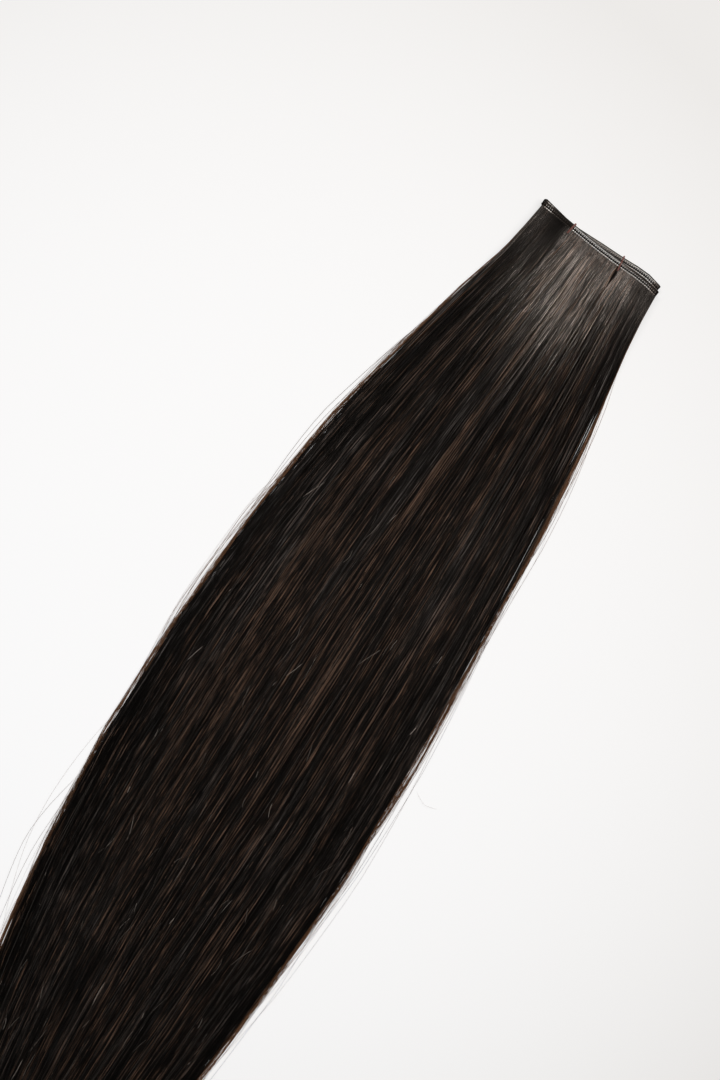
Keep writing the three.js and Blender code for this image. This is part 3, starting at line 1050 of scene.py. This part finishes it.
        # Painted shade for the strand, read where its root and fall stray a little
        shade_x = root_x[:, None] + rng.normal(0.0, SHADE_ASIDE, (count, 1))
        shade_fall = fall + rng.normal(0.0, SHADE_DOWN, (count, 1))
        return {
            "points": np.stack([x, y, z], axis=-1),
            "along": along,
            "tint": np.where(single, TINT_OF_SINGLE * rng.random((count, 1)), tint),
            "edge": painted_glow * rng.uniform(0.2, 1.0, (count, 1)) * smoothstep(0.0, 0.04, along),
            "own": np.where(single, rng.uniform(0.0, OWN_RANGE, (count, 1)), own),
            "seat": seat[:, None],
            "shade": lie.shade(shade_x, shade_fall),
        }

    def core(self, form, layer):
        """The close-packed inside of a curtain: its solid, drawn in a little under the strands."""
        mesh = solid(form.node).copy()
        mesh.name = f"{form.node}_core"
        weld(mesh)
        points = read_points(mesh)
        points -= read_points(mesh, "normal") * CORE_IN
        x, y, z = points.T
        tips_from = form.low.y + form.ABOVE_TIPS * 2
        y = np.where(y < tips_from, tips_from + (y - tips_from) * CORE_TIPS, y)
        upper = z > (form.low.z + form.high.z) * 0.25
        lift = self.lie.lift(x, self.band.inner_at(layer, x) - y) * CURTAIN_SHARES[layer]
        z = np.maximum(z + np.minimum(np.where(upper, lift, 0.0), 0.0), CORE_CLEAR)
        left, right = form.edges_at(y)
        middle = (left + right) / 2
        x = middle + (x - middle) * CORE_WIDTH
        mesh.vertices.foreach_set("co", np.stack([x, y, z], axis=-1).astype(np.float32).ravel())
        mesh.materials.clear()
        mesh.materials.append(self.material)
        map_core(mesh)
        return mesh

    def loose_course(self, form, count, rng):
        """Courses of single hairs across the top curtain: long ones, and short ones that lie aslant."""
        short = rng.random(count) < SHORT_SHARE

        def drawn(draw):
            """Draws for every hair as a short one, then as a long one, and keeps the one that it is."""
            return np.where(short, *(draw(kind) for kind in LOOSE_KINDS))[:, None]

        of_short = 0.12 + 0.84 * rng.random(count) ** 0.6
        start = np.where(short, of_short, rng.uniform(0.02, 0.7, count))[:, None]
        span = drawn(lambda kind: rng.uniform(kind["span_from"], kind["span_to"], count))
        share = np.linspace(0, 1, LOOSE_STEPS + 1)[None, :]
        along = np.minimum(start + span * share, 0.98)
        seat = rng.uniform(0.04, 0.96, count)[:, None]
        root_y = self.band.inner_at(0, np.full(count, self.band.middle))[:, None]
        y = root_y + (form.low.y - root_y) * along
        left, right = form.inset_edges(y, along)
        length = (root_y - form.low.y) * span
        aslant = drawn(lambda kind: rng.normal(0.0, kind["aslant"], count))
        bend = drawn(lambda kind: rng.normal(0.0, kind["bend"], count))
        bow = np.sin(math.pi * share)
        x = left + (right - left) * seat + length * (aslant * (share - 0.5) + bend * bow)
        x = np.clip(x, left + LOOSE_INSIDE, right - LOOSE_INSIDE)
        top = form.faces_at(y, (x - left) / (right - left))[1]
        rise = drawn(lambda kind: rng.uniform(kind["rise_from"], kind["rise_to"], count)) * MM
        z = top + self.lie.lift(x, self.band.inner_at(0, x) - y) + SINGLE_RISE + bow * rise
        tint = rng.uniform(0.3, 1.0, (count, 1))
        of_short = 0.9 * rng.uniform(0.15, 1.0, count) ** 1.5
        return {
            "points": np.stack([x, y, z], axis=-1),
            "along": slim_ended(x, share),
            "tint": tint,
            # How much painted pale highlight each hair gets, most on the short ones
            "pale": np.where(short, of_short, 0.12 * rng.random(count) ** 2)[:, None],
            "seat": seat,
            "own": rng.uniform(0.0, OWN_RANGE, (count, 1)),
        }

    def stray_course(self, form, rows, rng):
        """Courses of single hairs that leave an edge, bow out over the surface and come back to it."""
        side, start, span, out, peak, flick, sag = (
            column(rows, key)[:, None] for key in ("side", "from", "span", "out", "peak", "flick", "sag"))
        off = column(rows, "off", STRAY_OFF)[:, None]
        shiver = column(rows, "shiver", STRAY_SHIVER)[:, None]
        share = np.linspace(0, 1, LOOSE_STEPS + 1)[None, :]
        along = np.minimum(start + span * share, 0.99)
        root_y = self.band.inner_at(0, np.array([self.band.middle]))
        y = root_y + (form.low.y - root_y) * along
        left, right = form.inset_edges(y, along)
        bow = np.sin(math.pi * share ** (math.log(0.5) / np.log(peak)))
        waves = rng.uniform(1.0, 2.0, side.shape)
        ripple = shiver * np.sin(math.tau * (share * waves + rng.random(side.shape)))
        reach = out * bow + ripple * bow + off + flick * share
        x = np.where(side < 0, left - reach, right + reach)
        z = 0.3 * MM + bow * rng.uniform(0.2, 1.8, side.shape) * MM
        return {
            "points": np.stack([x, y - sag * bow, z], axis=-1),
            "along": slim_ended(x, share),
            "tint": rng.uniform(0.1, 1.0, side.shape),
            # The stray hairs get the painted glow of thin hair too
            "edge": rng.uniform(0.3, 1.0, side.shape),
            "own": rng.uniform(0.0, OWN_RANGE, side.shape),
        }


def slim_ended(x, share):
    """How far along its strand each point of a single hair counts, so that both its ends are slim."""
    return 0.3 + 0.7 * np.abs(2 * share - 1) * np.ones_like(x)


def wisp_hairs(rng):
    """The single hairs of the wisps, each a little off its wisp's own line."""
    rows = []
    for wisp in EDGE_WISPS:
        for _ in range(wisp["hairs"]):
            rows.append({
                **wisp,
                "from": wisp["from"] + rng.normal(0.0, 0.012),
                "span": wisp["span"] * rng.uniform(0.85, 1.15),
                "out": max(wisp["out"] + rng.normal(0.0, WISP_SPREAD), WISP_LEAST),
                "shiver": WISP_SPREAD,
            })
    return rows


def chance_strays(count, rng):
    """More rows like those of the stray hairs, drawn by chance and close to the edges."""
    rows = []
    for index in range(count):
        rows.append({
            "side": (-1, 1)[index % 2],
            "from": rng.uniform(0.05, 0.8),
            "span": rng.uniform(0.1, 0.4),
            "out": min(0.6 + rng.gamma(1.4, 1.1), 6.0) * MM,
            "peak": rng.uniform(0.35, 0.65),
        })
    return rows


class WEFT_OT_comb_top(bpy.types.Operator):
    """Comb the strands of the top curtain"""

    bl_idname = "weft.comb_top"
    bl_label = "Comb Top Curtain"

    def execute(self, context):
        settings = context.scene.weft_hair
        Comb(settings).pieces(TOP_PIECES, settings.top_count, TOP_STEPS)
        return {"FINISHED"}


class WEFT_OT_comb_lower(bpy.types.Operator):
    """Comb the strands of the three curtains under the top one"""

    bl_idname = "weft.comb_lower"
    bl_label = "Comb Lower Curtains"

    def execute(self, context):
        settings = context.scene.weft_hair
        Comb(settings).pieces(LOWER_PIECES, settings.lower_count, LOWER_STEPS)
        return {"FINISHED"}


class WEFT_OT_lay_loose(bpy.types.Operator):
    """Lay the single hairs that cross the top curtain and the ones that stand clear of its edges"""

    bl_idname = "weft.lay_loose"
    bl_label = "Lay Loose Hairs"

    def execute(self, context):
        settings = context.scene.weft_hair
        comb = Comb(settings)
        form = CurtainForm(CURTAINS[0])
        rng = np.random.default_rng(LOOSE_SEED)
        rows = [*STRAY_HAIRS, *wisp_hairs(rng), *chance_strays(settings.stray_count, rng)]
        courses = {
            "loose_hairs": comb.loose_course(form, settings.loose_count, rng),
            "stray_hairs": comb.stray_course(form, rows, rng),
        }
        for name, course in courses.items():
            link_piece(name, comb.strands(name, course, settings.loose_strand, rng), "hair")
        return {"FINISHED"}


def brighter(level, shade):
    """A colour so many times as bright."""
    return tuple(min(1.0, level * part) for part in shade[:3]) + (1.0,)


def thread_finish(settings):
    """Glossy thread with painted light and shade: light and coated where the band faces the light, dark
    where it turns away.
    """
    finish = Finish(
        "sewing_thread", Roughness=0.4, Specular_IOR_Level=0.15, Coat_IOR=2.4, Coat_Roughness=0.17)
    # The painted light and shade of the rows, with a little random tint from stitch to stitch
    share = finish.attribute("shine") * (0.8 + finish.attribute("tint") * 0.2)
    dull = finish.mix(share * 2.0, settings.dark, settings.dull)
    finish.set("Base Color", finish.mix(share * 2.0 - 1.0, dull, settings.clear))
    finish.set("Coat Weight", share ** 2.0)
    return finish.material


def band_finish(settings):
    """Hair ends pressed into the band, seen as fine ribs across it."""
    finish = Finish("sewn_band", Roughness=0.6, Specular_IOR_Level=0.04)
    ribs = finish.noise(2600.0, detail=3.0, stretch=(1.0, 0.12, 0.5))
    patches = finish.noise(160.0)
    light = brighter(2.6, settings.ground)
    finish.set("Base Color", finish.mix(ribs * patches * 1.6, settings.ground, light))
    finish.bump(ribs, 0.6, 0.15 * MM)
    return finish.material


def tie_finish(settings):
    """Matt reddish thread, paler in fine random flecks through its fibres."""
    finish = Finish("tie_thread", Roughness=0.6, Sheen_Weight=0.3)
    fibre = finish.noise(5200.0, detail=3.0)
    finish.set("Base Color", finish.mix(fibre, settings.colour, brighter(1.5, settings.colour)))
    finish.bump(fibre, 0.4, 0.05 * MM)
    return finish.material


def sewn_rows(settings):
    """The rows of stitches on a layer: how far in from its outer edge, and the form of a stitch."""
    thread = settings.thread
    pitch = settings.pitch
    return table(
        # A row's share of the painted light and shade stands before its drop
        "name in pitch length width height slant shine drop_mm",
        ("thread", THREAD_ROW_IN, pitch, 0.96 * pitch, 2.2 * thread, 1.2 * thread, 0.2, 1.0, 0.05),
        ("dot", DOT_ROW_IN, pitch, 0.6 * pitch, 2.1 * thread, 1.4 * thread, -0.3, 1.0, 0.1),
        ("wrap", WRAP_ROW_IN, 0.5 * pitch, WRAP_HEIGHT, 1.55 * thread, 0.7 * thread, 1.4, 1.0, 0.0),
        ("edge", EDGE_ROW_IN, 0.5 * pitch, 0.5 * pitch, 1.1 * thread, 1.5 * thread, 0.6, 0.7, 0.4))


class WEFT_OT_sew_band(bpy.types.Operator):
    """Finish the band and sew its rows of stitches"""

    bl_idname = "weft.sew_band"
    bl_label = "Sew Band"

    def execute(self, context):
        settings = context.scene.weft_band
        mesh = solid(BAND)
        mesh.materials.clear()
        mesh.materials.append(band_finish(settings))
        material = thread_finish(settings)
        maker = stitch_maker()
        band = BandForm()
        whole = None
        for layer in range(len(CURTAINS)):
            for index, row in enumerate(sewn_rows(settings)):
                sewn = self.sew_row(maker, band, layer, index, row, material)
                whole = sewn if whole is None else joined(whole, sewn)
        link_piece("band_stitches", whole, "band")
        return {"FINISHED"}

    def sew_row(self, maker, band, layer, index, row, material):
        """One row of stitches along one layer."""
        right = band.high.x - ROW_ENDS_IN - ROW_STEPS_IN * layer
        x = np.linspace(band.low.x + ROW_ENDS_IN, right, ROW_PLACES)
        y = band.outer_at(layer, x) - row["in"]
        z = np.full_like(x, band.heights[layer] + BAND_ROW_HALF - row["drop"])
        part = "under" if layer else "wrap" if row["name"] == "wrap" else "top"
        # How light this row is painted, for where the band faces the light or turns from it
        shine = band.level(BAND_PAINTED_LIGHT, part, x) * row["shine"]
        chain = chain_mesh("row", np.stack([x, y, z], axis=-1)[None], shine=shine[None])
        sizes = {key.title(): row[key] for key in ("pitch", "length", "width", "height", "slant")}
        name = f"{row['name']}_row_{layer + 1}"
        return maker.make(name, chain, Seed=10 * layer + index, Finish=material, **sizes)


class WEFT_OT_wind_ties(bpy.types.Operator):
    """Wind the two thread ties out of twisted plies"""

    bl_idname = "weft.wind_ties"
    bl_label = "Wind Ties"

    PLIES = 2
    PLACES = 168
    SIDES = 7
    PAST = 0.02 * MM

    def execute(self, context):
        settings = context.scene.weft_tie
        material = tie_finish(settings)
        maker = strand_maker()
        for node, bulk in TIE_BULK.items():
            middle, thread = self.loop(node)
            thread *= bulk
            away = settings.winding * thread
            plies = [self.ply(middle, away, settings.turns, ply / self.PLIES) for ply in range(self.PLIES)]
            thickness = np.full((self.PLIES, 1), settings.ply * thread)
            chain = chain_mesh(node, np.stack(plies), closed=True, thickness=thickness)
            mesh = maker.make(f"{node}_twist", chain, Sides=self.SIDES, Finish=material)
            link_piece(f"{node}_twist", mesh, "tie_thread", node)
        return {"FINISHED"}

    def loop(self, node):
        """The middle line of a tie's ring, and the thickness of its thread."""
        low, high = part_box(node)
        centre = (low + high) / 2
        points = read_points(solid(node))
        lean = np.polyfit(points[:, 1], points[:, 0], 1)[0]
        tree = solid_tree(node)
        middle = []
        widths = []
        for angle in np.linspace(0, math.tau, self.PLACES, endpoint=False):
            away = Vector((lean * math.cos(angle), math.cos(angle), math.sin(angle))).normalized()
            inner = tree.ray_cast(centre, away)[0]
            outer = tree.ray_cast(inner + away * self.PAST, away)[0]
            if outer is None:
                raise RuntimeError(f"{node} has no ring at {angle:.2f} rad")
            middle.append((inner + outer) / 2)
            widths.append((outer - inner).length)
        return np.array(middle), min(widths)

    def ply(self, middle, away, turns, phase):
        """One ply, wound round the thread's middle line."""
        ahead = np.roll(middle, -1, axis=0) - np.roll(middle, 1, axis=0)
        ahead /= np.linalg.norm(ahead, axis=1)[:, None]
        aside = np.cross(ahead, (1.0, 0.0, 0.0))
        aside /= np.linalg.norm(aside, axis=1)[:, None]
        across = np.cross(ahead, aside)
        length = np.linalg.norm(np.diff(middle, axis=0, append=middle[:1]), axis=1)
        turn = math.tau * (turns * np.cumsum(length) / length.sum() + phase)
        return middle + away * (aside * np.cos(turn)[:, None] + across * np.sin(turn)[:, None])


class WEFT_OT_lay_stage(bpy.types.Operator):
    """Lay out the pale surface, the light and the camera"""

    bl_idname = "weft.lay_stage"
    bl_label = "Lay Out Stage"

    def execute(self, context):
        settings = context.scene.weft_stage
        self.lay_floor(settings)
        self.hang_light(settings)
        self.light_room(settings)
        self.hang_camera()
        context.scene.view_settings.view_transform = "Standard"
        return {"FINISHED"}

    def lay_floor(self, settings):
        turns = ((-1, -1), (1, -1), (1, 1), (-1, 1))
        corners = [(x * FLOOR_HALF, y * FLOOR_HALF, FLOOR_DROP) for x, y in turns]
        mesh = bpy.data.meshes.new("floor")
        mesh.from_pydata(corners, [], [(0, 1, 2, 3)])
        finish = Finish("pale_surface", Roughness=0.9, Specular_IOR_Level=0.1)
        finish.set("Base Color", settings.floor)
        place = finish.place()
        away = finish.add("ShaderNodeSeparateXYZ", None, {0: place}, output=1)
        sockets = {0: place, 1: GLOW_PLACE}
        far = finish.add("ShaderNodeVectorMath", {"operation": "DISTANCE"}, sockets, output=1)
        # Painted pool of light: the glow is brightest round one place and fades away from it
        fade = away * GLOW_FADE_TO_BAND + far ** 3.0 * GLOW_FADE_AWAY + GLOW_FADE_START
        finish.set("Emission Color", finish.mix(fade, GLOW_NEAR, GLOW_FAR))
        finish.set("Emission Strength", settings.glow)
        mesh.materials.append(finish.material)
        shown("floor", mesh)

    def hang_light(self, settings):
        data = bpy.data.lights.new("key", "AREA")
        data.shape = "RECTANGLE"
        data.size, data.size_y = LIGHT_SIZE
        data.energy = settings.key
        data.color = settings.light[:3]
        lamp = shown("key", data)
        lamp.location = LIGHT_PLACE
        aim = Vector(LIGHT_AIM) - lamp.location
        lamp.rotation_euler = aim.to_track_quat("-Z", "Y").to_euler()

    def light_room(self, settings):
        """A dim room that looks pale where the camera sees past the surface."""
        world = bpy.data.worlds.new("studio")
        world.use_nodes = True
        nodes = Nodes(world.node_tree)
        seen = nodes.add("ShaderNodeLightPath")
        background = world.node_tree.nodes["Background"]
        nodes.feed(background.inputs["Color"], ROOM_COLOUR)
        nodes.feed(background.inputs["Strength"], seen * (ROOM_SEEN - settings.fill) + settings.fill)
        bpy.context.scene.world = world

    def hang_camera(self):
        low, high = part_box(BAND)
        data = bpy.data.cameras.new("camera")
        data.lens = CAMERA_LENS
        data.sensor_width = CAMERA_SENSOR
        camera = shown("camera", data)
        camera.location = ((low.x + high.x) / 2 + CAMERA_AIM[0], high.y + CAMERA_AIM[1], CAMERA_HEIGHT)
        camera.rotation_euler = (0.0, 0.0, CAMERA_TURN)
        bpy.context.scene.camera = camera


class WEFT_PT_panel(bpy.types.Panel):
    """Sizes, colours and steps of the hair weft"""

    bl_label = "Hair Weft"
    bl_idname = "WEFT_PT_panel"
    bl_space_type = "VIEW_3D"
    bl_region_type = "UI"
    bl_category = "Hair Weft"

    def draw(self, context):
        for name in SETTINGS:
            group = getattr(context.scene, name)
            box = self.layout.box()
            for key in group.__annotations__:
                box.prop(group, key)
        for operator in OPERATORS:
            self.layout.operator(operator.bl_idname)


SETTINGS = {
    "weft_hair": HairSettings,
    "weft_band": BandSettings,
    "weft_tie": TieSettings,
    "weft_stage": StageSettings,
}
OPERATORS = (
    WEFT_OT_lay_stage,
    WEFT_OT_comb_top,
    WEFT_OT_comb_lower,
    WEFT_OT_lay_loose,
    WEFT_OT_sew_band,
    WEFT_OT_wind_ties,
)


def register():
    for kind in (*SETTINGS.values(), *OPERATORS, WEFT_PT_panel):
        bpy.utils.register_class(kind)
    for name, kind in SETTINGS.items():
        setattr(bpy.types.Scene, name, PointerProperty(type=kind))


def unregister():
    for name in SETTINGS:
        delattr(bpy.types.Scene, name)
    for kind in (WEFT_PT_panel, *OPERATORS, *SETTINGS.values()):
        bpy.utils.unregister_class(kind)


def main():
    register()
    bpy.ops.weft.lay_stage()
    bpy.ops.weft.comb_top()
    bpy.ops.weft.comb_lower()
    bpy.ops.weft.lay_loose()
    bpy.ops.weft.sew_band()
    bpy.ops.weft.wind_ties()


if __name__ == "__main__":
    main()
